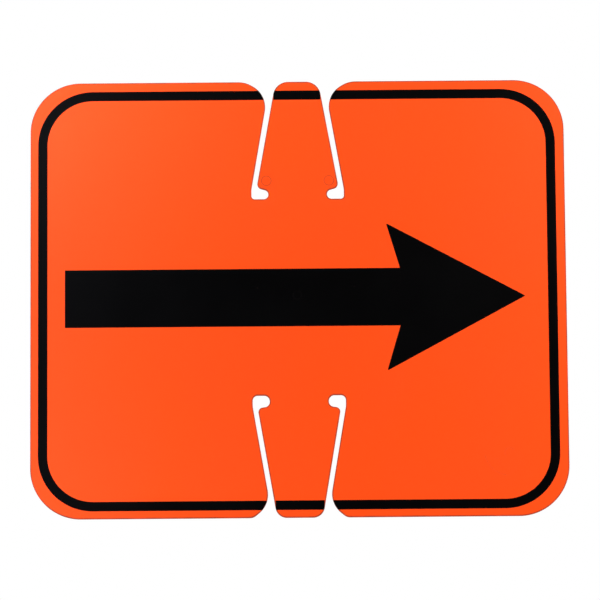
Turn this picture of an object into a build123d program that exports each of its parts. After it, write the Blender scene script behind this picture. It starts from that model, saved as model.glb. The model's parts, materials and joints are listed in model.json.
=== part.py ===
from build123d import *
import os
from dataclasses import dataclass

# A flat clip-on sign for a traffic cone. It stands upright with +X to the right, +Z up and its printed face
# towards -Y. The origin is the middle of the sheet. All lengths are in millimetres.

# The plastic sheet
sheet_width = 320.675  # 12 5/8 in
sheet_height = 263.525  # 10 3/8 in
sheet_thickness = 2.0
sheet_corner_radius = 30.2
half_width = sheet_width / 2
half_height = sheet_height / 2

# The living hinge at the root of each tongue, drawn as a round edge that turns in a round socket
hinge_radius = sheet_thickness / 2
hinge_clearance = 0.1

# The black ink on the front face
ink_thickness = 0.06
line_width = 5.4
line_inset = 5.1
line_corner_radius = 32.8
print_shift = -0.4  # the border line sits this far off centre, along X and along Z

# The arrow
arrow_tail_x = -139.6
arrow_tip_x = 135.6
arrow_centre_z = 0.35
shaft_height = 34.6
notch_x = 61.05  # where the shaft runs into the head
barb_x = 52.95
head_height = 88.8


@dataclass
class Slit:
    """One pair of hooked slits, which frees a tongue. Heights are measured from the middle of the sheet."""

    side: int  # 1 in the top edge, -1 in the bottom edge
    neck_half: float  # half the length of the hinge line
    root_height: float  # the hinge line
    hook_floor: float  # the side of the hook's eye that is nearest the middle of the sheet
    hook_outer: float  # the far wall of the eye, measured from the tongue's centreline
    eye_floor_radius: float  # round inner end of the eye, on its floor
    eye_roof_radius: float  # and on its roof
    eye_corner_radius: float
    roof_height: float  # the eye's roof, at its inner end
    roof_slope: float
    shoulder_radius: float  # where the roof turns into the tongue's edge
    tongue_half: float  # half the tongue's width at taper_height
    tongue_taper: float
    tongue_corner_radius: float
    wing_half: float  # the facing edge of the wing at taper_height
    wing_taper: float
    ramp_x: float  # a point on the lead-in ramp at the mouth of the slit
    ramp_height: float
    ramp_slope: float
    throat_radius: float
    mouth_radius: float


taper_height = 100.0
wall_blend_radius = 15.0  # the eye's far wall runs into the wing's sloping edge with this radius

upper_slit = Slit(
    side=1,
    neck_half=17.6,
    root_height=63.0,
    hook_floor=60.1,
    hook_outer=27.75,
    eye_floor_radius=2.8,
    eye_roof_radius=2.8,
    eye_corner_radius=2.0,
    roof_height=65.25,
    roof_slope=0.28,
    shoulder_radius=3.1,
    tongue_half=18.63,
    tongue_taper=0.182,
    tongue_corner_radius=9.0,
    wing_half=21.82,
    wing_taper=0.175,
    ramp_x=27.0,
    ramp_height=129.4,
    ramp_slope=0.6,
    throat_radius=14.7,
    mouth_radius=15.7,
)

lower_slit = Slit(
    side=-1,
    neck_half=17.6,
    root_height=62.2,
    hook_floor=58.6,
    hook_outer=27.8,
    eye_floor_radius=3.4,
    eye_roof_radius=3.2,
    eye_corner_radius=3.0,
    roof_height=65.2,
    roof_slope=0.15,
    shoulder_radius=2.8,
    tongue_half=19.05,
    tongue_taper=0.171,
    tongue_corner_radius=7.0,
    wing_half=21.86,
    wing_taper=0.1705,
    ramp_x=26.0,
    ramp_height=130.3,
    ramp_slope=0.8,
    throat_radius=14.5,
    mouth_radius=5.8,
)


def meet(half, taper, x, height, slope):
    """Where a tapering edge, half wide at taper_height, meets a slope through (x, height)."""
    meet_height = (height + slope * (half + taper * taper_height - x)) / (1 + slope * taper)
    return half - taper * (meet_height - taper_height), meet_height


def edge_x(half, taper, height):
    """How far from the centreline a tapering edge is at a height."""
    return half - taper * (height - taper_height)


def face_of(corners):
    """A face in the X-Z plane. Each corner is (x, z, radius), and radius 0 leaves it sharp."""
    points = [(x, z) for x, z, radius in corners]
    radii = [radius for x, z, radius in corners]
    return Plane.XZ * make_face(FilletPolyline(*points, radius=radii, close=True))


def on_side(slit, corners):
    """Corners given with heights above the middle, put on the slit's own side of it."""
    return [(x, slit.side * height, radius) for x, height, radius in corners]


def with_mirror(corners):
    """The corners on the +X side, followed by their mirror images on the way back."""
    return corners + [(-x, z, radius) for x, z, radius in reversed(corners)]


def wing_corners(slit):
    """The panel's edge on the +X side: from the hinge line round the hook's eye to the sheet's corner."""
    blend_height = taper_height + (slit.wing_half - slit.hook_outer) / slit.wing_taper
    throat_x, throat_height = meet(
        slit.wing_half, slit.wing_taper, slit.ramp_x, slit.ramp_height, slit.ramp_slope
    )
    mouth_x = slit.ramp_x + (half_height - slit.ramp_height) / slit.ramp_slope
    corners = [
        (slit.neck_half, slit.root_height, 0),
        (slit.neck_half, slit.hook_floor, slit.eye_floor_radius),
        (slit.hook_outer, slit.hook_floor, slit.eye_corner_radius),
        (slit.hook_outer, blend_height, wall_blend_radius),
        (throat_x, throat_height, slit.throat_radius),
        (mouth_x, half_height, slit.mouth_radius),
        (half_width, half_height, sheet_corner_radius),
    ]
    return on_side(slit, corners)


def tongue_corners(slit):
    """The tongue's edge on the +X side, from its root round the shoulder and up to its free end."""
    shoulder_x, shoulder_height = meet(
        slit.tongue_half, slit.tongue_taper, slit.neck_half, slit.roof_height, slit.roof_slope
    )
    corners = [
        (slit.neck_half, slit.root_height, 0),
        (slit.neck_half, slit.roof_height, slit.eye_roof_radius),
        (shoulder_x, shoulder_height, slit.shoulder_radius),
        (edge_x(slit.tongue_half, slit.tongue_taper, half_height), half_height, slit.tongue_corner_radius),
    ]
    return on_side(slit, corners)


def hinge_rod(slit, radius):
    """A rod along the hinge line, as long as the tongue's neck is wide."""
    rod = Rotation(0, 90, 0) * Cylinder(radius, 2 * slit.neck_half)
    return Pos(0, 0, slit.side * slit.root_height) * rod


def in_sheet(face):
    """The face given the sheet's thickness, half of it to each side."""
    return extrude(face, amount=sheet_thickness / 2, both=True)


def in_ink(face):
    """The face as a film of ink on the front of the sheet."""
    return Pos(0, -sheet_thickness / 2, 0) * extrude(face, amount=ink_thickness)


def line_outline(inset, corner_radius):
    """A rounded rectangle that lies inside the sheet's edge."""
    outline = RectangleRounded(sheet_width - 2 * inset, sheet_height - 2 * inset, corner_radius)
    return Plane.XZ * Pos(print_shift, print_shift) * outline


def arrow_face():
    """The arrow: a straight shaft and a head with swept-back barbs."""
    half_shaft = shaft_height / 2
    upper_edge = [
        (arrow_tail_x, arrow_centre_z + half_shaft),
        (notch_x, arrow_centre_z + half_shaft),
        (barb_x, arrow_centre_z + head_height / 2),
    ]
    tip = (arrow_tip_x, arrow_centre_z)
    lower_edge = [(x, 2 * arrow_centre_z - z) for x, z in reversed(upper_edge)]
    return Plane.XZ * make_face(Polyline(*upper_edge, tip, *lower_edge, close=True))


right_edge = wing_corners(upper_slit) + list(reversed(wing_corners(lower_slit)))
panel_face = face_of(with_mirror(right_edge))
tongue_faces = {slit.side: face_of(with_mirror(tongue_corners(slit))) for slit in (upper_slit, lower_slit)}

panel = in_sheet(panel_face)
for slit in (upper_slit, lower_slit):
    panel -= hinge_rod(slit, hinge_radius + hinge_clearance)

line_face = line_outline(line_inset, line_corner_radius)
line_face -= line_outline(line_inset + line_width, line_corner_radius - line_width)
panel_line = sorted(in_ink(line_face & panel_face).solids(), key=lambda solid: solid.center().X)

nodes = {
    "panel": panel,
    "upper_tongue": in_sheet(tongue_faces[1]) + hinge_rod(upper_slit, hinge_radius),
    "lower_tongue": in_sheet(tongue_faces[-1]) + hinge_rod(lower_slit, hinge_radius),
    "arrow_print": in_ink(arrow_face()),
    "left_border_print": panel_line[0],
    "right_border_print": panel_line[1],
    "upper_tongue_border_print": in_ink(line_face & tongue_faces[1]),
    "lower_tongue_border_print": in_ink(line_face & tongue_faces[-1]),
}

os.makedirs("parts", exist_ok=True)
for name, solid in nodes.items():
    solid.label = name
    export_step(solid, f"parts/{name}.step")
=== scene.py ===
import json
from math import radians

import bpy
import numpy as np
from mathutils import Matrix, Vector
from mathutils.geometry import delaunay_2d_cdt


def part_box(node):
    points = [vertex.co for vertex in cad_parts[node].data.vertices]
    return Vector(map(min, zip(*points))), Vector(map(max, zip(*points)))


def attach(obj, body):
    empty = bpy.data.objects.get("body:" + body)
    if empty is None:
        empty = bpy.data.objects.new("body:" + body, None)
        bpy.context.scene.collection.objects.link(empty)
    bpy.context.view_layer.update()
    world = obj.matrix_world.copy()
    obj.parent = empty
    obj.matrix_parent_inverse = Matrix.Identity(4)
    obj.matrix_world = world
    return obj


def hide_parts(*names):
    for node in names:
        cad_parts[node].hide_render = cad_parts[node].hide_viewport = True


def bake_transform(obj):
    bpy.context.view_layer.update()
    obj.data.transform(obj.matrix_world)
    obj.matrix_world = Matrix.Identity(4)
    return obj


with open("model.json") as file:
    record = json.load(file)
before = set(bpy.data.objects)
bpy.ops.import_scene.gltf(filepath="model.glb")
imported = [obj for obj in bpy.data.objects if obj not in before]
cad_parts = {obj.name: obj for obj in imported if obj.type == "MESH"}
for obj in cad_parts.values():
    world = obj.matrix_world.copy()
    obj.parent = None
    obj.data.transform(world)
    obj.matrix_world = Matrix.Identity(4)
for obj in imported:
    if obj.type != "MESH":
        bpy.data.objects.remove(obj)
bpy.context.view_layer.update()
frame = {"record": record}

bl_info = {
    "name": "Cone Sign",
    "version": (1, 0, 0),
    "blender": (4, 5, 0),
    "location": "3D View > Sidebar > Cone Sign",
    "description": "Builds a clip-on arrow sign for a traffic cone around its CAD frame",
    "category": "Object",
}

MM = 0.001

# What the frame says about the sheet, in metres
SHEET_LOW, SHEET_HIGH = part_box("panel")
HALF_WIDTH = SHEET_HIGH.x
HALF_HEIGHT = SHEET_HIGH.z
FRONT_Y = SHEET_LOW.y
BACK_Y = SHEET_HIGH.y
INK_THICKNESS = FRONT_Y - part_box("arrow_print")[0].y
HINGE_HEIGHTS = {joint["child"]: joint["pos_m"][2] for joint in frame["record"]["behaviour"]["joints"]}


# ---------------------------------------------------------------------------------------------------------
# Sizes and colours that can be changed
# ---------------------------------------------------------------------------------------------------------


def length(name, description, millimetres, **more):
    """A length property with its default given in millimetres."""
    return bpy.props.FloatProperty(
        name=name,
        description=description,
        default=millimetres * MM,
        subtype="DISTANCE",
        unit="LENGTH",
        precision=5,
        **more,
    )


def amount(name, description, default, low=0.0, high=1.0):
    """A plain number between two limits."""
    return bpy.props.FloatProperty(name=name, description=description, default=default, min=low, max=high)


def colour(name, description, default):
    """A linear colour."""
    return bpy.props.FloatVectorProperty(
        name=name, description=description, default=default, size=3, min=0.0, max=1.0, subtype="COLOR"
    )


def angle(name, description, degrees):
    """An angle property with its default given in degrees."""
    return bpy.props.FloatProperty(
        name=name, description=description, default=radians(degrees), subtype="ANGLE", unit="ROTATION"
    )


class SheetSize(bpy.types.PropertyGroup):
    """The moulded sheet apart from its slits."""

    corner_radius: length("Corner radius", "Radius of the sheet's four outer corners", 30.2)
    edge_radius: length("Edge radius", "How far the sheet's cut edges are rounded over", 0.2)
    # The edges darken over this width as painted edge shade; the same mask roughens them as wear.
    shade_and_wear_width: length("Shade and wear width", "How far handling wear reaches in from an edge", 1.0)
    bend_length: length("Bend length", "Distance from a tongue's root over which its bend builds up", 80.0)
    panel_mesh: length("Panel mesh", "Spacing of the points across the panel", 5.0)
    tongue_mesh: length("Tongue mesh", "Spacing of the points across a tongue", 1.6)
    mark_radius: length("Mark radius", "Radius of the moulded rings at the upper tongue's root", 2.9)
    mark_x: length("Mark offset", "How far each ring is from the centreline", 18.8)
    mark_z: length("Mark height", "How high the rings are above the middle of the sheet", 71.3)
    mark_depth: length("Mark depth", "How deep the rings are sunk", 0.07)
    gate_radius: length("Gate radius", "Radius of the mould gate's mark near the middle of the sheet", 2.5)
    gate_x: length("Gate offset", "Where the gate's mark is along X", -0.7)
    gate_z: length("Gate height", "Where the gate's mark is along Z", 1.8)


class SlitSize(bpy.types.PropertyGroup):
    """One pair of hooked slits. Heights are measured from the middle of the sheet."""

    neck_half: length("Half neck", "Half the length of the hinge line between the hooks' eyes", 17.6)
    eye_floor: length("Eye floor", "Height of the eye's side that is nearest the middle", 60.1)
    eye_outer: length("Eye outer wall", "Distance of the eye's far wall from the centreline", 27.75)
    eye_floor_radius: length("Eye floor radius", "Radius of the eye's inner end on its floor", 2.8)
    eye_roof_radius: length("Eye roof radius", "Radius of the eye's inner end on its roof", 2.8)
    eye_corner_radius: length("Eye corner radius", "Radius of the eye's far corner", 2.0)
    wall_blend: length("Wall blend", "Radius that joins the eye's far wall to the wing's edge", 15.0)
    roof_height: length("Roof height", "Height of the eye's roof at its inner end", 65.25)
    roof_slope: amount("Roof slope", "Rise of the roof for each unit outwards", 0.28)
    shoulder_radius: length("Shoulder radius", "Radius between the roof and the tongue's edge", 3.1)
    tongue_half: length("Half tongue", "Half the tongue's width at the taper height", 18.63)
    tongue_taper: amount("Tongue taper", "Half width that the tongue loses for each unit of height", 0.182)
    tongue_corner: length("Tongue corner", "Radius of the corners at the tongue's free end", 9.0)
    wing_half: length("Half gap", "From the centreline to the wing's edge at the taper height", 21.82)
    wing_taper: amount("Wing taper", "Distance that the wing's edge loses for each unit of height", 0.175)
    ramp_x: length("Ramp offset", "Distance from the centreline of a point on the lead-in ramp", 27.0)
    ramp_height: length("Ramp height", "Height of that point", 129.4)
    ramp_slope: amount("Ramp slope", "Rise of the ramp for each unit outwards", 0.6)
    throat_radius: length("Throat radius", "Radius where the wing's edge turns into the ramp", 14.7)
    mouth_radius: length("Mouth radius", "Radius where the ramp meets the sheet's edge", 15.7)
    taper_height: length("Taper height", "Height at which the half widths are given", 100.0)


LOWER_SLIT_MM = {
    "eye_floor": 58.6,
    "eye_outer": 27.8,
    "eye_floor_radius": 3.4,
    "eye_roof_radius": 3.2,
    "eye_corner_radius": 3.0,
    "roof_height": 65.2,
    "shoulder_radius": 2.8,
    "tongue_half": 19.05,
    "tongue_corner": 7.0,
    "wing_half": 21.86,
    "ramp_x": 26.0,
    "ramp_height": 130.3,
    "throat_radius": 14.5,
    "mouth_radius": 5.8,
}
LOWER_SLIT_SLOPES = {"roof_slope": 0.15, "tongue_taper": 0.171, "wing_taper": 0.1705, "ramp_slope": 0.8}


class PrintSize(bpy.types.PropertyGroup):
    """The screen print. Its overall extents come from the frame."""

    line_width: length("Line width", "Width of the border line", 5.4)
    line_radius: length("Line radius", "Outer corner radius of the border line", 32.8)
    shaft_height: length("Shaft height", "Height of the arrow's shaft", 34.6)
    notch_x: length("Notch", "Where the shaft runs into the arrow's head", 61.05)
    barb_x: length("Barb", "Where the arrow's barbs end", 52.95)
    corner_radius: length("Print corner radius", "How far the screen softens a sharp corner", 0.3)
    rim: length("Ink rim", "Width of the film's thicker rim", 0.2)
    edge_radius: length("Ink edge radius", "How far the film's own edge is rounded over", 0.03)
    setback: length("Setback", "How far the ink stops short of a cut edge", 0.05)
    spread: length("Ink spread", "How far the ink creeps past its drawn edge as it dries", 0.12)
    sink: length("Sink", "How far the film is keyed into the plastic", 0.01)


class SignFinish(bpy.types.PropertyGroup):
    """Colours and surface of the plastic and the ink."""

    orange: colour("Orange", "Body colour of the plastic", (1.0, 0.0715, 0.0042))
    orange_deep: colour("Deep orange", "The plastic where its pigment is denser", (1.0, 0.0665, 0.0028))
    orange_rubbed: colour("Rubbed orange", "The plastic where handling has paled it", (1.0, 0.13, 0.035))
    # Painted shade: a dark orange along the cut edges and in the moulded grooves, where shade falls.
    orange_edge_shade: colour("Edge shade orange", "The plastic along cut edges and in grooves", (0.24, 0.035, 0.01))
    dirt: colour("Dirt", "Specks and handling marks", (0.42, 0.06, 0.02))
    ink: colour("Ink", "Body colour of the ink", (0.0007, 0.0006, 0.0007))
    ink_dust: colour("Ink dust", "Dust that shows on the ink", (0.03, 0.02, 0.018))
    plastic_roughness: amount("Plastic roughness", "Middle roughness of the plastic", 0.46)
    ink_roughness: amount("Ink roughness", "Middle roughness of the ink", 0.4)
    plastic_specular: amount("Plastic specular", "Strength of the plastic's reflection", 0.17)
    ink_specular: amount("Ink specular", "Strength of the ink's reflection", 0.04)


class StageLook(bpy.types.PropertyGroup):
    """Camera, lights and floor."""

    focal_length: amount("Focal length", "Camera lens in millimetres", 250.0, 10.0, 400.0)
    distance: length("Distance", "Distance of the camera from the point it looks at", 2492.8)
    aim_x: length("Aim across", "Point that the camera looks at, along X", 0.9)
    aim_z: length("Aim up", "Point that the camera looks at, along Z", -1.1)
    pan: angle("Pan", "Turn of the camera to its left", -0.054)
    tilt: angle("Tilt", "Upward tilt of the camera", 8.512)
    roll: angle("Roll", "Roll of the camera about its own axis", 0.467)
    cone_height: length("Cone height", "Height above the floor at which a cone would hold the sign", 711.0)
    floor_radius: length("Floor radius", "Radius of the floor", 14000.0)
    floor: colour("Floor", "Colour of the floor", (0.82, 0.82, 0.81))
    floor_glow: amount("Floor glow", "How bright the floor below the sign is by itself", 0.78)
    front_power: amount("Front power", "Scale of the four softboxes in front", 1.05, 0.0, 10.0)
    behind: amount("Behind", "Power of each of the two lights behind, in watts", 8.5, 0.0, 100.0)
    surround: amount("Surround", "Strength of the light from the studio's walls", 0.06, 0.0, 2.0)


class ConeSign(bpy.types.PropertyGroup):
    """Everything about the sign that can be changed."""

    sheet: bpy.props.PointerProperty(type=SheetSize, name="Sheet", description="The moulded sheet")
    upper_slit: bpy.props.PointerProperty(type=SlitSize, name="Upper slits", description="Top edge")
    lower_slit: bpy.props.PointerProperty(type=SlitSize, name="Lower slits", description="Bottom edge")
    print_size: bpy.props.PointerProperty(type=PrintSize, name="Print", description="The screen print")
    finish: bpy.props.PointerProperty(type=SignFinish, name="Finish", description="Plastic and ink")
    stage: bpy.props.PointerProperty(type=StageLook, name="Stage", description="Camera, lights and floor")


# ---------------------------------------------------------------------------------------------------------
# Outlines in the X-Z plane, counter-clockwise as seen from the front
# ---------------------------------------------------------------------------------------------------------

TURN_STEP = radians(3.0)  # largest turn between neighbouring points of an arc
SHORTEST = 0.3 * MM  # nearest that a point of a cut path comes to its end


def rounded(corners, closed=False):
    """The outline of corners (x, z, radius). A corner of radius r whose sides turn by an angle a becomes an
    arc that leaves the first side r * tan(a / 2) before the corner. An open outline keeps its two ends."""
    place = np.array([corner[:2] for corner in corners])
    radius = np.array([corner[2] for corner in corners])
    side = np.roll(place, -1, 0) - place
    side /= np.linalg.norm(side, axis=1)[:, None]
    came = np.roll(side, 1, 0)
    turn = np.arctan2(came[:, 0] * side[:, 1] - came[:, 1] * side[:, 0], (came * side).sum(1))
    if not closed:
        turn[[0, -1]] = 0.0
    stretches = []
    for corner, back, r, a, heading in zip(place, came, radius, turn, np.arctan2(came[:, 1], came[:, 0])):
        count = int(np.ceil(abs(a) / TURN_STEP)) if r > 0 else 0
        along = heading + a * np.linspace(0.0, 1.0, count + 1)
        bend = r * np.sign(a)
        start = corner - back * r * np.tan(abs(a) / 2)
        arc = start + bend * np.stack([np.sin(along) - np.sin(heading), np.cos(heading) - np.cos(along)], 1)
        stretches.append(arc)
    return np.concatenate(stretches)


def divided(path, longest, closed=False):
    """The path with evenly spaced points added, so that no step is longer than longest."""
    ends = np.roll(path, -1, 0) if closed else path[1:]
    starts = path if closed else path[:-1]
    parts = np.maximum(1, np.ceil(np.linalg.norm(ends - starts, axis=1) / longest)).astype(int)
    step = np.arange(parts.sum()) - np.repeat(np.cumsum(parts) - parts, parts)
    share = (step / np.repeat(parts, parts))[:, None]
    points = np.repeat(starts, parts, 0) * (1 - share) + np.repeat(ends, parts, 0) * share
    return points if closed else np.concatenate([points, path[-1:]])


def outward(path, closed):
    """For each point, the step that moves both its sides outwards by one: their normals' mitre."""
    side = np.diff(np.concatenate([path, path[:1]]) if closed else path, axis=0)
    side /= np.linalg.norm(side, axis=1)[:, None]
    normal = np.stack([side[:, 1], -side[:, 0]], 1)
    before = np.roll(normal, 1, 0) if closed else np.concatenate([normal[:1], normal])
    after = normal if closed else np.concatenate([normal, normal[-1:]])
    both = before + after
    return both * 2 / (both**2).sum(1)[:, None]


def edge_meets_slope(half, taper, taper_height, x, height, slope):
    """Where an edge, half wide at taper_height and losing taper for each unit of height, meets the line of
    that slope through (x, height)."""
    meet_height = (height + slope * (half + taper * taper_height - x)) / (1 + slope * taper)
    return half - taper * (meet_height - taper_height), meet_height


def wing_corners(slit, sheet, hinge_height):
    """Corners from the hinge line round the eye, up the wing's edge and ramp, and to the sheet's corner."""
    blend_height = slit.taper_height + (slit.wing_half - slit.eye_outer) / slit.wing_taper
    edge = (slit.wing_half, slit.wing_taper, slit.taper_height)
    throat_x, throat_height = edge_meets_slope(*edge, slit.ramp_x, slit.ramp_height, slit.ramp_slope)
    mouth_x = slit.ramp_x + (HALF_HEIGHT - slit.ramp_height) / slit.ramp_slope
    return [
        (slit.neck_half, hinge_height, 0.0),
        (slit.neck_half, slit.eye_floor, slit.eye_floor_radius),
        (slit.eye_outer, slit.eye_floor, slit.eye_corner_radius),
        (slit.eye_outer, blend_height, slit.wall_blend),
        (throat_x, throat_height, slit.throat_radius),
        (mouth_x, HALF_HEIGHT, slit.mouth_radius),
        (HALF_WIDTH, HALF_HEIGHT, sheet.corner_radius),
    ]


def tongue_corners(slit, hinge_height):
    """Corners from the hinge line round the shoulder to the tongue's free end."""
    edge = (slit.tongue_half, slit.tongue_taper, slit.taper_height)
    shoulder_x, shoulder_height = edge_meets_slope(*edge, slit.neck_half, slit.roof_height, slit.roof_slope)
    end_x = slit.tongue_half - slit.tongue_taper * (HALF_HEIGHT - slit.taper_height)
    return [
        (slit.neck_half, hinge_height, 0.0),
        (slit.neck_half, slit.roof_height, slit.eye_roof_radius),
        (shoulder_x, shoulder_height, slit.shoulder_radius),
        (end_x, HALF_HEIGHT, slit.tongue_corner),
    ]


def mirrored(corners):
    """The mirror image across the centreline, in the opposite order."""
    return [(-x, z, radius) for x, z, radius in reversed(corners)]


def panel_sides(sign):
    """The panel's right and left edges, each from one hinge line to the other."""
    upper = wing_corners(sign.upper_slit, sign.sheet, HINGE_HEIGHTS["upper_tongue"])
    lower = wing_corners(sign.lower_slit, sign.sheet, -HINGE_HEIGHTS["lower_tongue"])
    right = [(x, -z, radius) for x, z, radius in lower] + upper[::-1]
    return rounded(right), rounded(mirrored(right))


def tongue_side(sign, body):
    """A tongue's edge, from one end of its hinge line round its free end to the other."""
    slit = sign.upper_slit if body == "upper_tongue" else sign.lower_slit
    right = tongue_corners(slit, abs(HINGE_HEIGHTS[body]))
    outline = rounded(right + mirrored(right))
    return outline * np.sign(HINGE_HEIGHTS[body])  # half a turn for the lower one


def between(path, low, high, shift):
    """The stretch of a path between two heights, moved sideways by shift. Heights rise along the path."""
    inside = path[(path[:, 1] > low + SHORTEST) & (path[:, 1] < high - SHORTEST)]
    ends = np.interp([low, high], path[:, 1], path[:, 0])
    whole = np.concatenate([[[ends[0], low]], inside, [[ends[1], high]]])
    return whole + [shift, 0.0]


# ---------------------------------------------------------------------------------------------------------
# Meshes
# ---------------------------------------------------------------------------------------------------------

ROUND_STEPS = 4  # faces across a rounded edge
SUPPORT = 0.12 * MM  # flat strip that keeps the rounding's shading off the face
MARK_STEPS = 48  # points round a moulded ring
MARK_WIDTH = 0.5 * MM  # half width of a ring's groove
MARK_PITCH = 0.125 * MM  # spacing of the points across the groove
# Painted shade: the moulded grooves take on part of the edges' darker colour.
GROOVE_SHADE_AND_WEAR = 0.7  # how much of the edges' colour a groove takes on
SHARP_ANGLE = radians(40)  # faces that meet at more than this are shaded apart

# Handling marks on the front: X and Z of the middle, radius, half width, X and Z of the direction in which
# an arc lies from its middle, and how narrow it is (-1 all round, 1 nothing). A speck has no radius.
HANDLING_MARKS = np.array(
    [
        (125.0, -92.4, 15.0, 0.7, -0.68, -0.73, 0.8),
        (125.0, -94.0, 3.0, 0.8, -0.5, 0.87, 0.0),
        (117.0, -99.0, 1.6, 0.5, 0.7, 0.7, -0.2),
        (126.4, 47.0, 2.4, 0.6, 0.0, 1.0, -0.4),
        (-46.0, 67.0, 0.0, 0.7, 0.0, 0.0, 0.0),
        (-128.0, 107.0, 0.0, 0.8, 0.0, 0.0, 0.0),
        (-131.0, -94.0, 0.0, 0.7, 0.0, 0.0, 0.0),
        (-84.0, -73.0, 0.0, 0.6, 0.0, 0.0, 0.0),
    ]
)


def edge_profile(front, back, edge_radius, shade_and_wear_width):
    """(inset from the outline, y) across an edge from front to back: a flat strip, a quarter circle, the
    wall, a quarter circle and a flat strip. Also the mask of painted edge shade and wear: 1 on the edge
    itself, falling to 0 at the strip's end."""
    swing = np.linspace(0.0, np.pi / 2, ROUND_STEPS + 1)
    inset = np.concatenate([[shade_and_wear_width, edge_radius + SUPPORT], edge_radius * (1 - np.sin(swing))])
    drop = np.concatenate([[0.0, 0.0], edge_radius * (1 - np.cos(swing))])
    shade_and_wear = np.concatenate([[0.0], np.ones(ROUND_STEPS + 2)])
    return (
        np.concatenate([inset, inset[::-1]]),
        np.concatenate([front + drop, (back - drop)[::-1]]),
        np.concatenate([shade_and_wear, shade_and_wear[::-1]]),
    )


def inside_loop(points, loop, margin):
    """Which points lie inside a closed loop and at least margin away from it. A point is inside if a ray
    from it crosses the loop an odd number of times."""
    start, end = loop[None], np.roll(loop, -1, 0)[None]
    point = points[:, None]
    side = end - start
    crosses = (start[..., 1] > point[..., 1]) != (end[..., 1] > point[..., 1])
    rise = np.where(side[..., 1] == 0, 1.0, side[..., 1])
    crossing_x = start[..., 0] + (point[..., 1] - start[..., 1]) / rise * side[..., 0]
    odd = (crosses & (crossing_x > point[..., 0])).sum(1) % 2 == 1
    share = (((point - start) * side).sum(2) / (side**2).sum(2)).clip(0, 1)
    away = np.linalg.norm(point - start - share[..., None] * side, axis=2).min(1)
    return odd & (away > margin)


def ring_points(mark):
    """Points on circles across the groove of a moulded ring (x, z, radius, depth), and its middle."""
    x, z, radius, depth = mark
    steps = int(round(MARK_WIDTH / MARK_PITCH))
    turns = np.linspace(0, 2 * np.pi, MARK_STEPS, endpoint=False)
    around, across = np.meshgrid(turns, radius + MARK_PITCH * np.arange(-steps, steps + 1))
    circles = np.stack([x + across * np.cos(around), z + across * np.sin(around)], -1).reshape(-1, 2)
    return np.concatenate([circles, [[x, z]]])


def sunk(points, marks):
    """How far the moulded rings sink the front at each point: depth * cos(pi * d / (2 * width)) squared, at a
    distance d from the ring, inside its width."""
    depth_here = np.zeros(len(points))
    for x, z, radius, depth in marks:
        away = np.abs(np.hypot(points[:, 0] - x, points[:, 1] - z) - radius)
        depth_here += depth * np.cos(np.pi / 2 * (away / MARK_WIDTH).clip(0, 1)) ** 2
    return depth_here


def face_net(loop, pitch, marks):
    """Points inside a loop and triangles over all of them: a square lattice of the given pitch, and circles
    round each moulded ring, joined by Delaunay's rule within the loop."""
    low, high = loop.min(0), loop.max(0)
    counts = np.maximum(1, np.round((high - low) / pitch)).astype(int)
    columns = low[0] + (np.arange(counts[0]) + 0.5) * (high[0] - low[0]) / counts[0]
    rows = low[1] + (np.arange(counts[1]) + 0.5) * (high[1] - low[1]) / counts[1]
    lattice = np.stack(np.meshgrid(columns, rows), -1).reshape(-1, 2)
    lattice = lattice[inside_loop(lattice, loop, 0.45 * pitch)]
    extra = [np.zeros((0, 2))]
    for mark in marks:
        circles = ring_points(mark)
        if not inside_loop(circles, loop, MARK_PITCH / 2).all():
            raise RuntimeError("a moulded ring runs over the edge")
        extra.append(circles)
        clear = np.hypot(lattice[:, 0] - mark[0], lattice[:, 1] - mark[1]) > mark[2] + 2 * MARK_WIDTH
        lattice = lattice[clear]
    inner = np.concatenate([lattice, *extra])
    points = np.concatenate([loop, inner])
    rim = list(range(len(loop)))
    made = delaunay_2d_cdt([Vector(p / MM) for p in points], [], [rim], 1, 1e-7)
    if len(made[0]) != len(points):
        raise RuntimeError("an outline crosses or touches itself")
    origin = np.array([ids[0] for ids in made[3]])
    triangles = origin[np.array(made[2])]
    a, b, c = (points[triangles[:, k]] for k in range(3))
    clockwise = (b - a)[:, 0] * (c - a)[:, 1] - (b - a)[:, 1] * (c - a)[:, 0] < 0
    triangles[clockwise] = triangles[clockwise][:, ::-1]
    return inner, triangles


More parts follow.
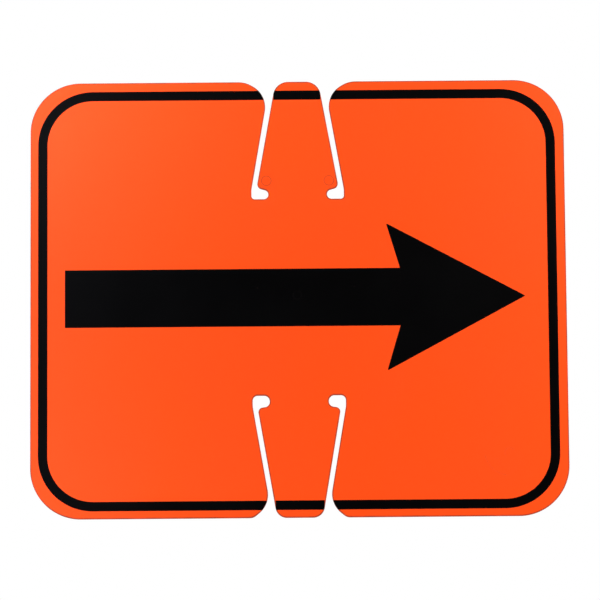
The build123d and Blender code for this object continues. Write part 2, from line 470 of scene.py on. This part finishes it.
def slab(name, sides, front, back, edge_radius, shade_and_wear_width, pitch, closed=False, marks=()):
    """A flat closed body between front and back. Its edge is the rounded profile carried along each side;
    where one open side ends and the next starts, a straight flat cap joins them. The faces are nets."""
    inset, depth, shade_and_wear = edge_profile(front, back, edge_radius, shade_and_wear_width)
    rings = len(inset)
    vertices, shade_and_wear_values, polygons, loops_front, loops_back, loop_plan = [], [], [], [], [], []
    sides = [divided(side, pitch, closed) for side in sides]
    offsets = [outward(side, closed) for side in sides]
    strips = []
    total = 0

    def add(points, values):
        nonlocal total
        vertices.append(points)
        shade_and_wear_values.append(values)
        total += len(points)
        return np.arange(total - len(points), total)

    for side, out in zip(sides, offsets):
        plan = side[None] - inset[:, None, None] * out[None]
        place = np.stack([plan[..., 0], np.broadcast_to(depth[:, None], plan.shape[:2]), plan[..., 1]], -1)
        index = add(place.reshape(-1, 3), np.repeat(shade_and_wear, len(side))).reshape(rings, len(side))
        strips.append((index, plan))
        following = np.roll(index, -1, 1) if closed else index[:, 1:]
        here = index if closed else index[:, :-1]
        quads = np.stack([here[:-1], here[1:], following[1:], following[:-1]], -1).reshape(-1, 4)
        polygons.extend(quads.tolist())
    for number, (index, plan) in enumerate(strips):
        loops_front.append(index[0])
        loops_back.append(index[-1])
        loop_plan.append(plan[0])
        if closed:
            continue
        next_index, next_plan = strips[(number + 1) % len(strips)]
        seam = divided(np.stack([plan[0, -1], next_plan[0, 0]]), pitch)[1:-1]
        seam_front = add(np.insert(seam, 1, front, 1), np.zeros(len(seam)))
        seam_back = add(np.insert(seam, 1, back, 1), np.zeros(len(seam)))
        polygons.append([*index[:, -1], *seam_back, *next_index[::-1, 0], *seam_front[::-1]])
        loops_front.append(seam_front)
        loops_back.append(seam_back)
        loop_plan.append(seam)
    inner, triangles = face_net(np.concatenate(loop_plan), pitch, marks)
    deep = sunk(inner, marks)
    grooved = deep / max([mark[3] for mark in marks], default=1.0)
    # Painted shade: the grooves take on part of the edges' darker colour.
    inner_front = add(np.stack([inner[:, 0], front + deep, inner[:, 1]], 1), GROOVE_SHADE_AND_WEAR * grooved)
    inner_back = add(np.insert(inner, 1, back, 1), np.zeros(len(inner)))
    polygons.extend(np.concatenate([*loops_front, inner_front])[triangles].tolist())
    polygons.extend(np.concatenate([*loops_back, inner_back])[triangles][:, ::-1].tolist())
    mesh = bpy.data.meshes.new(name)
    mesh.from_pydata(np.concatenate(vertices).tolist(), [], polygons)
    if mesh.validate():
        raise RuntimeError(f"the mesh of {name} isn't sound")
    mesh.polygons.foreach_set("use_smooth", np.ones(len(mesh.polygons), bool))
    mesh.set_sharp_from_angle(angle=SHARP_ANGLE)
    # A mask for painted edge shade and for wear: 1 on the edges, and in part in the grooves.
    shade_and_wear_attribute = mesh.attributes.new("edge_shade_and_wear", "FLOAT", "POINT")
    shade_and_wear_attribute.data.foreach_set("value", np.concatenate(shade_and_wear_values).astype(np.float32))
    rest = mesh.attributes.new("rest_place", "FLOAT_VECTOR", "POINT")
    rest.data.foreach_set("vector", np.concatenate(vertices).astype(np.float32).ravel())
    mesh.update()
    piece = bpy.data.objects.new(name, mesh)
    bpy.context.scene.collection.objects.link(piece)
    return piece


# ---------------------------------------------------------------------------------------------------------
# Shader node groups
# ---------------------------------------------------------------------------------------------------------


def new_group(name, inputs, outputs):
    """A shader node group with float inputs and outputs. inputs maps a name to its default."""
    group = bpy.data.node_groups.new(name, "ShaderNodeTree")
    for label, default in inputs.items():
        socket = group.interface.new_socket(name=label, in_out="INPUT", socket_type="NodeSocketFloat")
        socket.default_value = default
    for label in outputs:
        group.interface.new_socket(name=label, in_out="OUTPUT", socket_type="NodeSocketFloat")
    return group, group.nodes.new("NodeGroupInput"), group.nodes.new("NodeGroupOutput")


def maths(tree, operation, first, second=0.0, third=None, clamp=False):
    """A Math node. Each of its inputs is a socket or a number."""
    node = tree.nodes.new("ShaderNodeMath")
    node.operation = operation
    node.use_clamp = clamp
    for socket, value in zip(node.inputs, (first, second, third)):
        if isinstance(value, bpy.types.NodeSocket):
            tree.links.new(value, socket)
        elif value is not None:
            socket.default_value = value
    return node.outputs[0]


def remapped(tree, value, low, high, to_low=0.0, to_high=1.0, smooth=True):
    """value taken from low..high to to_low..to_high, and held at the ends."""
    node = tree.nodes.new("ShaderNodeMapRange")
    node.interpolation_type = "SMOOTHSTEP" if smooth else "LINEAR"
    tree.links.new(value, node.inputs["Value"])
    for label, number in zip(("From Min", "From Max", "To Min", "To Max"), (low, high, to_low, to_high)):
        node.inputs[label].default_value = number
    return node.outputs["Result"]


def rest_place(tree, stretch=(1.0, 1.0, 1.0), turn=(0.0, 0.0, 0.0)):
    """The mesh's own rest_place, turned and stretched by a Mapping node. It stays on the surface when a
    tongue bends."""
    kept = tree.nodes.new("ShaderNodeAttribute")
    kept.attribute_name = "rest_place"
    mapping = tree.nodes.new("ShaderNodeMapping")
    mapping.inputs["Scale"].default_value = stretch
    mapping.inputs["Rotation"].default_value = turn
    tree.links.new(kept.outputs["Vector"], mapping.inputs["Vector"])
    return mapping.outputs["Vector"]


def noise(tree, place, scale, detail=2.0, roughness=0.5):
    """A noise texture's value, about 0.5 in the middle. scale is a number or a socket, in cells per metre."""
    node = tree.nodes.new("ShaderNodeTexNoise")
    tree.links.new(place, node.inputs["Vector"])
    if isinstance(scale, bpy.types.NodeSocket):
        tree.links.new(scale, node.inputs["Scale"])
    else:
        node.inputs["Scale"].default_value = scale
    node.inputs["Detail"].default_value = detail
    node.inputs["Roughness"].default_value = roughness
    return node.outputs[0]


def cells(tree, place, scale):
    """Distance to the nearest of scattered points, and that point's own random colour. scale is a socket, in
    points per metre each way."""
    node = tree.nodes.new("ShaderNodeTexVoronoi")
    tree.links.new(place, node.inputs["Vector"])
    tree.links.new(scale, node.inputs["Scale"])
    return node.outputs["Distance"], node.outputs["Color"]


def grain_group():
    """Fine surface grain: a pebble of the given pitch with soft unevenness over it, a mottle a few
    millimetres across, and patches a few centimetres across."""
    outputs = ["Height", "Mottle", "Patch"]
    group, given, result = new_group("Surface grain", {"Pebbles per metre": 2600.0}, outputs)
    place = rest_place(group)
    pebble = noise(group, place, given.outputs["Pebbles per metre"], 3.0, 0.55)
    soft = noise(group, place, maths(group, "MULTIPLY", given.outputs["Pebbles per metre"], 0.05), 2.0, 0.5)
    swell = maths(group, "MULTIPLY", soft, 1.5)
    group.links.new(maths(group, "ADD", pebble, swell), result.inputs["Height"])
    group.links.new(noise(group, place, 420.0, 4.0, 0.6), result.inputs["Mottle"])
    group.links.new(noise(group, place, 16.0, 3.0, 0.55), result.inputs["Patch"])
    return group


def speck_group():
    """Small round specks scattered at random. Most of the points carry none."""
    inputs = {"Specks per metre": 60.0, "Radius": 0.09, "Share": 0.3}
    group, given, result = new_group("Specks", inputs, ["Mask"])
    place = rest_place(group)
    away, tint = cells(group, place, given.outputs["Specks per metre"])
    split = group.nodes.new("ShaderNodeSeparateColor")
    group.links.new(tint, split.inputs["Color"])
    chosen = maths(group, "LESS_THAN", split.outputs["Red"], given.outputs["Share"])
    size = maths(group, "MULTIPLY", given.outputs["Radius"], split.outputs["Green"])
    dot = maths(group, "SUBTRACT", 1.0, maths(group, "DIVIDE", away, size), clamp=True)
    group.links.new(maths(group, "MULTIPLY", remapped(group, dot, 0.0, 0.6), chosen), result.inputs["Mask"])
    return group


def scratch_group():
    """Hairline scratches in two directions, broken up so that each is a few centimetres long."""
    inputs = {"Hairs per metre": 420.0, "Amount": 0.5}
    group, given, result = new_group("Hairline scratches", inputs, ["Mask"])
    masks = []
    for turn, offset in ((radians(23), 0.0), (radians(-61), 7.3)):
        place = rest_place(group, (1.0, 1.0, 0.035), (0.0, turn, 0.0))
        shifted = group.nodes.new("ShaderNodeVectorMath")
        shifted.operation = "ADD"
        shifted.inputs[1].default_value = (offset, offset, offset)
        group.links.new(place, shifted.inputs[0])
        line = noise(group, shifted.outputs[0], given.outputs["Hairs per metre"], 1.0, 0.5)
        off_line = maths(group, "ABSOLUTE", maths(group, "SUBTRACT", line, 0.5))
        hair = remapped(group, off_line, 0.0, 0.012, 1.0, 0.0)
        patch = remapped(group, noise(group, shifted.outputs[0], 30.0, 2.0, 0.5), 0.6, 0.72)
        masks.append(maths(group, "MULTIPLY", hair, patch))
    both = maths(group, "MAXIMUM", masks[0], masks[1])
    group.links.new(maths(group, "MULTIPLY", both, given.outputs["Amount"]), result.inputs["Mask"])
    return group


def arc_group():
    """A mark on the front whose middle is at (X, Z): an arc of the given radius and half width that lies
    towards (Toward X, Toward Z), where distance along that direction is over Cut times the radius."""
    inputs = {"X": 0.0, "Z": 0.0, "Radius": 0.0, "Width": 0.001, "Toward X": 0.0, "Toward Z": 0.0, "Cut": 0.0}
    group, given, result = new_group("Handling mark", inputs, ["Mask"])
    value = given.outputs
    place = rest_place(group)
    split = group.nodes.new("ShaderNodeSeparateXYZ")
    group.links.new(place, split.inputs[0])
    across = maths(group, "SUBTRACT", split.outputs["X"], value["X"])
    up = maths(group, "SUBTRACT", split.outputs["Z"], value["Z"])
    squares = maths(group, "MULTIPLY_ADD", across, across, maths(group, "MULTIPLY", up, up))
    away = maths(group, "ABSOLUTE", maths(group, "SUBTRACT", maths(group, "SQRT", squares), value["Radius"]))
    near = maths(group, "SUBTRACT", 1.0, maths(group, "DIVIDE", away, value["Width"]), clamp=True)
    upward = maths(group, "MULTIPLY", up, value["Toward Z"])
    along = maths(group, "MULTIPLY_ADD", across, value["Toward X"], upward)
    beyond = maths(group, "SUBTRACT", along, maths(group, "MULTIPLY", value["Radius"], value["Cut"]))
    kept = maths(group, "GREATER_THAN", beyond, -1e-6)
    front = maths(group, "LESS_THAN", split.outputs["Y"], 0.0)
    broken = remapped(group, noise(group, place, 700.0, 2.0, 0.5), 0.25, 0.6, 0.35, 1.0)
    arc = maths(group, "MULTIPLY", near, kept)
    shown = maths(group, "MULTIPLY", front, broken)
    group.links.new(maths(group, "MULTIPLY", arc, shown), result.inputs["Mask"])
    return group


def edge_shade_and_wear_group():
    """Painted shade and wear along the edges and in the grooves: the mesh's own edge mask, broken up by
    unevenness.
    """
    group, given, result = new_group("Edge shade and wear", {"Amount": 1.0}, ["Mask"])
    shade_and_wear_attribute = group.nodes.new("ShaderNodeAttribute")
    shade_and_wear_attribute.attribute_name = "edge_shade_and_wear"
    uneven = remapped(group, noise(group, rest_place(group), 90.0, 4.0, 0.6), 0.3, 0.7, 0.6, 1.0)
    broken_shade_and_wear = maths(group, "MULTIPLY", shade_and_wear_attribute.outputs["Fac"], uneven)
    group.links.new(maths(group, "MULTIPLY", broken_shade_and_wear, given.outputs["Amount"]), result.inputs["Mask"])
    return group


def shared_group(name, build):
    """The node group of that name, built the first time it is asked for."""
    return bpy.data.node_groups.get(name) or build()


# ---------------------------------------------------------------------------------------------------------
# Materials
# ---------------------------------------------------------------------------------------------------------


def placed(tree, group, **values):
    """A node group placed in a material, with its own values. Underscores stand for spaces."""
    node = tree.nodes.new("ShaderNodeGroup")
    node.node_tree = group
    for label, value in values.items():
        node.inputs[label.replace("_", " ")].default_value = value
    return node


def mixed(tree, share, first, second):
    """Two colours mixed. Each is a socket or three numbers."""
    node = tree.nodes.new("ShaderNodeMix")
    node.data_type = "RGBA"
    tree.links.new(share, node.inputs["Factor"])
    for socket, value in ((node.inputs[6], first), (node.inputs[7], second)):
        if isinstance(value, bpy.types.NodeSocket):
            tree.links.new(value, socket)
        else:
            socket.default_value = (*value, 1.0)
    return node.outputs[2]


def blank_material(name):
    """A new material with only a Principled BSDF and its output."""
    material = bpy.data.materials.new(name)
    material.use_nodes = True
    tree = material.node_tree
    shader = next(node for node in tree.nodes if node.type == "BSDF_PRINCIPLED")
    return material, tree, shader


def bumped(tree, shader, height, strength, distance):
    """A Bump node that feeds the shader's normal."""
    bump = tree.nodes.new("ShaderNodeBump")
    bump.inputs["Strength"].default_value = strength
    bump.inputs["Distance"].default_value = distance
    tree.links.new(height, bump.inputs["Height"])
    tree.links.new(bump.outputs["Normal"], shader.inputs["Normal"])


def orange_plastic(finish):
    """Moulded orange plastic: fine satin grain, pigment that varies softly, painted shade along the cut edges
    and in the grooves, hairline scratches, a few specks and some handling marks."""
    material, tree, shader = blank_material("Orange moulded plastic")
    grain = placed(tree, shared_group("Surface grain", grain_group), Pebbles_per_metre=2600.0)
    points = {"Specks_per_metre": 55.0, "Radius": 0.07, "Share": 0.12}
    specks = placed(tree, shared_group("Specks", speck_group), **points)
    scratches = placed(tree, shared_group("Hairline scratches", scratch_group), Amount=0.35)
    shade_and_wear = placed(tree, shared_group("Edge shade and wear", edge_shade_and_wear_group), Amount=0.9)
    mark = 0.0
    for x, z, radius, width, toward_x, toward_z, cut in HANDLING_MARKS:
        arc = placed(
            tree,
            shared_group("Handling mark", arc_group),
            X=x * MM,
            Z=z * MM,
            Radius=radius * MM,
            Width=width * MM,
            Toward_X=toward_x,
            Toward_Z=toward_z,
            Cut=cut,
        )
        mark = maths(tree, "MAXIMUM", arc.outputs["Mask"], mark)
    mottled = maths(tree, "MULTIPLY_ADD", grain.outputs["Mottle"], 0.6, grain.outputs["Patch"])
    pigment = remapped(tree, mottled, 0.55, 1.05, smooth=False)
    body = mixed(tree, pigment, finish.orange, finish.orange_deep)
    handled = maths(tree, "MULTIPLY", mark, 0.3)
    speckled = maths(tree, "MULTIPLY", specks.outputs["Mask"], 0.3)
    dirty = maths(tree, "MAXIMUM", handled, speckled)
    body = mixed(tree, dirty, body, finish.dirt)
    body = mixed(tree, maths(tree, "MULTIPLY", scratches.outputs["Mask"], 0.3), body, finish.orange_rubbed)
    # Painted shade: the cut edges and grooves darken towards the edge colour.
    body = mixed(tree, shade_and_wear.outputs["Mask"], body, finish.orange_edge_shade)
    tree.links.new(body, shader.inputs["Base Color"])
    middle = finish.plastic_roughness
    satin = remapped(tree, grain.outputs["Patch"], 0.25, 0.75, middle - 0.04, middle + 0.05)
    satin = maths(tree, "ADD", satin, maths(tree, "MULTIPLY", scratches.outputs["Mask"], 0.12), clamp=True)
    satin = maths(tree, "ADD", satin, maths(tree, "MULTIPLY", shade_and_wear.outputs["Mask"], 0.15), clamp=True)
    tree.links.new(satin, shader.inputs["Roughness"])
    height = maths(tree, "SUBTRACT", grain.outputs["Height"], scratches.outputs["Mask"])
    bumped(tree, shader, height, 0.12, 0.05 * MM)
    shader.inputs["Specular IOR Level"].default_value = finish.plastic_specular
    return material


def black_ink(finish):
    """Screen ink: dense black with a faint cool tone, a soft orange-peel surface and a little dust."""
    material, tree, shader = blank_material("Black screen ink")
    grain = placed(tree, shared_group("Surface grain", grain_group), Pebbles_per_metre=1500.0)
    points = {"Specks_per_metre": 120.0, "Radius": 0.08, "Share": 0.12}
    specks = placed(tree, shared_group("Specks", speck_group), **points)
    scratches = placed(tree, shared_group("Hairline scratches", scratch_group), Amount=0.3)
    shade_and_wear = placed(tree, shared_group("Edge shade and wear", edge_shade_and_wear_group), Amount=0.07)
    dust = maths(tree, "MULTIPLY", specks.outputs["Mask"], 0.4)
    dust = maths(tree, "MAXIMUM", dust, maths(tree, "MULTIPLY", scratches.outputs["Mask"], 0.12))
    dust = maths(tree, "MAXIMUM", dust, shade_and_wear.outputs["Mask"])
    tree.links.new(mixed(tree, dust, finish.ink, finish.ink_dust), shader.inputs["Base Color"])
    middle = finish.ink_roughness
    satin = remapped(tree, grain.outputs["Patch"], 0.25, 0.75, middle - 0.05, middle + 0.06)
    satin = maths(tree, "ADD", satin, maths(tree, "MULTIPLY", scratches.outputs["Mask"], 0.15), clamp=True)
    tree.links.new(satin, shader.inputs["Roughness"])
    bumped(tree, shader, grain.outputs["Height"], 0.15, 0.04 * MM)
    shader.inputs["Specular IOR Level"].default_value = finish.ink_specular
    return material


def shared_material(name, build, finish):
    """The material of that name, built the first time it is asked for."""
    return bpy.data.materials.get(name) or build(finish)


def plastic_of(sign):
    """The sign's plastic."""
    return shared_material("Orange moulded plastic", orange_plastic, sign.finish)


def ink_of(sign):
    """The sign's ink."""
    return shared_material("Black screen ink", black_ink, sign.finish)


# ---------------------------------------------------------------------------------------------------------
# Operators
# ---------------------------------------------------------------------------------------------------------


def moulded_marks(sign):
    """The rings that the mould leaves in the front: (x, z, radius, depth) each."""
    sheet = sign.sheet
    rings = [(side * sheet.mark_x, sheet.mark_z, sheet.mark_radius, sheet.mark_depth) for side in (-1, 1)]
    gate = (sheet.gate_x, sheet.gate_z, sheet.gate_radius, sheet.mark_depth)
    return rings, [gate]


class CONESIGN_OT_make_panel(bpy.types.Operator):
    """Makes the orange panel: both wings and the bridge between the tongues"""

    bl_idname = "conesign.make_panel"
    bl_label = "Make Panel"

    def execute(self, context):
        sign = context.scene.cone_sign
        sheet = sign.sheet
        piece = slab(
            "sign_panel",
            panel_sides(sign),
            FRONT_Y,
            BACK_Y,
            sheet.edge_radius,
            sheet.shade_and_wear_width,
            sheet.panel_mesh,
            marks=moulded_marks(sign)[1],
        )
        piece.data.materials.append(plastic_of(sign))
        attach(piece, "panel")
        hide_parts("panel")
        return {"FINISHED"}


def flex(piece):
    """Bakes the piece's placement into its mesh, where it stays flat."""
    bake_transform(piece)


class CONESIGN_OT_make_tongues(bpy.types.Operator):
    """Makes the two spring tongues, which start at their roots in the panel"""

    bl_idname = "conesign.make_tongues"
    bl_label = "Make Tongues"

    def execute(self, context):
        sign = context.scene.cone_sign
        sheet = sign.sheet
        for body in HINGE_HEIGHTS:
            marks = moulded_marks(sign)[0] if body == "upper_tongue" else ()
            piece = slab(
                f"{body}_spring",
                [tongue_side(sign, body)],
                FRONT_Y,
                BACK_Y,
                sheet.edge_radius,
                sheet.shade_and_wear_width,
                sheet.tongue_mesh,
                marks=marks,
            )
            piece.data.materials.append(plastic_of(sign))
            flex(piece)
            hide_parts(body)
        return {"FINISHED"}


def ink_film(sign, name, outline, body, node, marks=()):
    """A film of ink over an outline, which stands for the CAD film. It rides on the panel, or stays flat
    where it is made on a tongue."""
    size = sign.print_size
    on_tongue = body in HINGE_HEIGHTS
    piece = slab(
        name,
        [outline + size.spread * outward(outline, True)],
        FRONT_Y - INK_THICKNESS,
        FRONT_Y + size.sink,
        size.edge_radius,
        size.rim,
        sign.sheet.tongue_mesh if on_tongue else sign.sheet.panel_mesh,
        closed=True,
        marks=marks,
    )
    piece.data.materials.append(ink_of(sign))
    if on_tongue:
        flex(piece)
    else:
        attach(piece, body)
    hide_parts(node)


class CONESIGN_OT_print_arrow(bpy.types.Operator):
    """Prints the black arrow"""

    bl_idname = "conesign.print_arrow"
    bl_label = "Print Arrow"

    def execute(self, context):
        sign = context.scene.cone_sign
        size = sign.print_size
        low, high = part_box("arrow_print")
        middle = (low.z + high.z) / 2
        half_shaft = size.shaft_height / 2
        soft = size.corner_radius
        upper = [
            (high.x, middle, soft),
            (size.barb_x, high.z, soft),
            (size.notch_x, middle + half_shaft, soft),
            (low.x, middle + half_shaft, soft),
        ]
        lower = [(x, 2 * middle - z, soft) for x, z, soft in reversed(upper[1:])]
        outline = rounded(upper + lower, closed=True)
        ink_film(sign, "arrow_ink", outline, "panel", "arrow_print", moulded_marks(sign)[1])
        return {"FINISHED"}


def line_corners(sign, side, inset):
    """The border line's bottom and top corners on one side, inset from its outer edge. The left side's (-1)
    are given as their mirror images, on the right."""
    low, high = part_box("left_border_print")[0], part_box("right_border_print")[1]
    x = (high.x if side == 1 else -low.x) - inset
    radius = sign.print_size.line_radius - inset
    return [(x, low.z + inset, radius), (x, high.z - inset, radius)]


def wing_edge(slit, sheet, body):
    """The stretch of the right wing's edge that the border line ends on, from the eye out to the mouth."""
    root = HINGE_HEIGHTS[body]
    return rounded(wing_corners(slit, sheet, abs(root))[3:6]) * [1, np.sign(root)]


class CONESIGN_OT_print_border(bpy.types.Operator):
    """Prints the black border line: one film on each wing and one on each tongue"""

    bl_idname = "conesign.print_border"
    bl_label = "Print Border"

    def execute(self, context):
        sign = context.scene.cone_sign
        size = sign.print_size
        upper_wing = wing_edge(sign.upper_slit, sign.sheet, "upper_tongue")
        lower_wing = wing_edge(sign.lower_slit, sign.sheet, "lower_tongue")
        setback = size.setback + size.spread
        for side, name in ((1, "right_border"), (-1, "left_border")):
            outer = line_corners(sign, side, 0.0)
            inner = line_corners(sign, side, size.line_width)
            bottom, top = (z for x, z, radius in outer)
            bottom_inner, top_inner = (z for x, z, radius in inner)
            top_end = between(upper_wing, top_inner, top, setback)[::-1]
            bottom_end = between(lower_wing[::-1], bottom, bottom_inner, setback)[::-1]
            outer_path = rounded([(*bottom_end[-1], 0.0), *outer, (*top_end[0], 0.0)])
            inner_path = rounded([(*top_end[-1], 0.0), *inner[::-1], (*bottom_end[0], 0.0)])
            outline = np.concatenate([outer_path[1:], top_end[1:], inner_path[1:], bottom_end[1:]])
            if side == -1:
                outline = (outline * [-1, 1])[::-1]
            ink_film(sign, f"{name}_ink", outline, "panel", f"{name}_print")
        for body in HINGE_HEIGHTS:
            low, high = (top_inner, top) if body == "upper_tongue" else (bottom, bottom_inner)
            edge = tongue_side(sign, body)
            right = edge[edge[:, 0] > 0]
            right = right[np.abs(right[:, 1]) > sign.upper_slit.taper_height]
            right = right[np.argsort(right[:, 1], kind="stable")]
            right = between(right, low, high, -setback)
            left = (right * [-1, 1])[::-1]
            ink_film(sign, f"{body}_border_ink", np.concatenate([right, left]), body, f"{body}_border_print")
        return {"FINISHED"}


FLOOR_SIDES = 96
COOL = (0.86, 0.9, 1.0)  # the tint of the left softboxes
FRONT_BOX = 0.4  # side of a softbox in front, in metres
BACK_BOX = 0.6  # and of one behind


def soft_light(name, place, aim, size, power, spread=180, tint=(1.0, 1.0, 1.0)):
    """A square softbox that faces a point, with a grid that limits its spread (degrees). It isn't seen."""
    lamp = bpy.data.lights.new(name, "AREA")
    lamp.size = size
    lamp.energy = power
    lamp.spread = radians(spread)
    lamp.color = tint
    light = bpy.data.objects.new(name, lamp)
    light.location = place
    light.rotation_euler = (Vector(aim) - Vector(place)).to_track_quat("-Z", "Y").to_euler()
    light.visible_camera = False
    bpy.context.scene.collection.objects.link(light)


def pale_floor(stage):
    """A pale matt floor. Seen directly it also glows, so that it runs out into the white surround."""
    material, tree, shader = blank_material("Pale floor")
    away = tree.nodes.new("ShaderNodeVectorMath")
    away.operation = "LENGTH"
    tree.links.new(tree.nodes.new("ShaderNodeTexCoord").outputs["Object"], away.inputs[0])
    glow = remapped(tree, away.outputs["Value"], 0.0, 3.0, stage.floor_glow, 1.0)
    seen = tree.nodes.new("ShaderNodeLightPath").outputs["Is Camera Ray"]
    tree.links.new(maths(tree, "MULTIPLY", glow, seen), shader.inputs["Emission Strength"])
    shader.inputs["Emission Color"].default_value = (1.0, 1.0, 1.0, 1.0)
    shader.inputs["Base Color"].default_value = (*stage.floor, 1.0)
    shader.inputs["Roughness"].default_value = 0.8
    shader.inputs["Specular IOR Level"].default_value = 0.2
    return material


class CONESIGN_OT_set_stage(bpy.types.Operator):
    """Sets up the floor, the studio light and the camera"""

    bl_idname = "conesign.set_stage"
    bl_label = "Set Stage"

    def execute(self, context):
        sign = context.scene.cone_sign
        stage = sign.stage
        scene = context.scene
        rim = np.linspace(0, 2 * np.pi, FLOOR_SIDES, endpoint=False)
        disc = stage.floor_radius * np.stack([np.cos(rim), np.sin(rim), np.zeros(FLOOR_SIDES)], 1)
        mesh = bpy.data.meshes.new("floor")
        mesh.from_pydata(disc.tolist(), [], [list(range(FLOOR_SIDES))])
        mesh.materials.append(pale_floor(stage))
        floor = bpy.data.objects.new("floor", mesh)
        floor.location = (0.0, 0.0, -sign.lower_slit.eye_floor - stage.cone_height)
        scene.collection.objects.link(floor)

        power = stage.front_power
        soft_light("Upper left", (-0.45, -0.41, 0.27), (-0.29, 0.0, 0.30), FRONT_BOX, 1.38 * power, 57, COOL)
        soft_light("Upper right", (0.45, -0.35, 0.39), (0.30, 0.0, 0.13), FRONT_BOX, 2.94 * power, 148)
        aim = (-0.30, 0.0, -0.28)
        soft_light("Lower left", (-0.45, -0.35, -0.20), aim, FRONT_BOX, 1.89 * power, 118, COOL)
        soft_light("Lower right", (0.60, -0.35, -0.29), (0.30, 0.0, 0.0), FRONT_BOX, 2.16 * power, 159)
        soft_light("Behind left", (-0.7, 0.8, 0.5), (0.0, 0.0, 0.0), BACK_BOX, stage.behind)
        soft_light("Behind right", (0.7, 0.8, 0.3), (0.0, 0.0, 0.0), BACK_BOX, stage.behind)

        world = bpy.data.worlds.new("Studio")
        world.use_nodes = True
        tree = world.node_tree
        background = next(node for node in tree.nodes if node.type == "BACKGROUND")
        background.inputs["Color"].default_value = (1.0, 1.0, 1.0, 1.0)
        seen = tree.nodes.new("ShaderNodeLightPath").outputs["Is Camera Ray"]
        strength = maths(tree, "MULTIPLY_ADD", seen, 1.0 - stage.surround, stage.surround)
        tree.links.new(strength, background.inputs["Strength"])
        scene.world = world
        scene.view_settings.view_transform = "Standard"

        lens = bpy.data.cameras.new("Camera")
        lens.lens = stage.focal_length
        camera = bpy.data.objects.new("Camera", lens)
        turn = Matrix.Rotation(stage.pan, 4, "Z") @ Matrix.Rotation(stage.tilt, 4, "X")
        turn = turn @ Matrix.Rotation(stage.roll, 4, "Y")
        forward = turn @ Vector((0.0, 1.0, 0.0))
        place = Vector((stage.aim_x, 0.0, stage.aim_z)) - forward * stage.distance
        camera.matrix_world = Matrix.Translation(place) @ turn @ Matrix.Rotation(radians(90), 4, "X")
        scene.collection.objects.link(camera)
        scene.camera = camera
        return {"FINISHED"}


class CONESIGN_PT_sidebar(bpy.types.Panel):
    """Lists the sign's pieces and the sizes that can be changed"""

    bl_idname = "CONESIGN_PT_sidebar"
    bl_label = "Cone Sign"
    bl_space_type = "VIEW_3D"
    bl_region_type = "UI"
    bl_category = "Cone Sign"

    def draw(self, context):
        layout = self.layout
        for operator in OPERATORS:
            layout.operator(operator.bl_idname)
        sign = context.scene.cone_sign
        for group in (sign.sheet, sign.upper_slit, sign.lower_slit, sign.print_size, sign.finish, sign.stage):
            box = layout.box()
            for label in group.__annotations__:
                box.prop(group, label)


PROPERTY_GROUPS = (SheetSize, SlitSize, PrintSize, SignFinish, StageLook, ConeSign)
OPERATORS = (
    CONESIGN_OT_set_stage,
    CONESIGN_OT_make_panel,
    CONESIGN_OT_make_tongues,
    CONESIGN_OT_print_arrow,
    CONESIGN_OT_print_border,
)


def register():
    """Registers the classes and gives the scene its settings."""
    for kind in (*PROPERTY_GROUPS, *OPERATORS, CONESIGN_PT_sidebar):
        bpy.utils.register_class(kind)
    bpy.types.Scene.cone_sign = bpy.props.PointerProperty(type=ConeSign)


def unregister():
    """Takes the settings and the classes away again."""
    del bpy.types.Scene.cone_sign
    for kind in reversed((*PROPERTY_GROUPS, *OPERATORS, CONESIGN_PT_sidebar)):
        bpy.utils.unregister_class(kind)


def main():
    """Builds the sign and its stage."""
    register()
    lower = bpy.context.scene.cone_sign.lower_slit
    for label, millimetres in LOWER_SLIT_MM.items():
        setattr(lower, label, millimetres * MM)
    for label, slope in LOWER_SLIT_SLOPES.items():
        setattr(lower, label, slope)
    bpy.ops.conesign.set_stage()
    bpy.ops.conesign.make_panel()
    bpy.ops.conesign.make_tongues()
    bpy.ops.conesign.print_arrow()
    bpy.ops.conesign.print_border()
    bpy.context.view_layer.update()


if __name__ == "__main__":
    main()
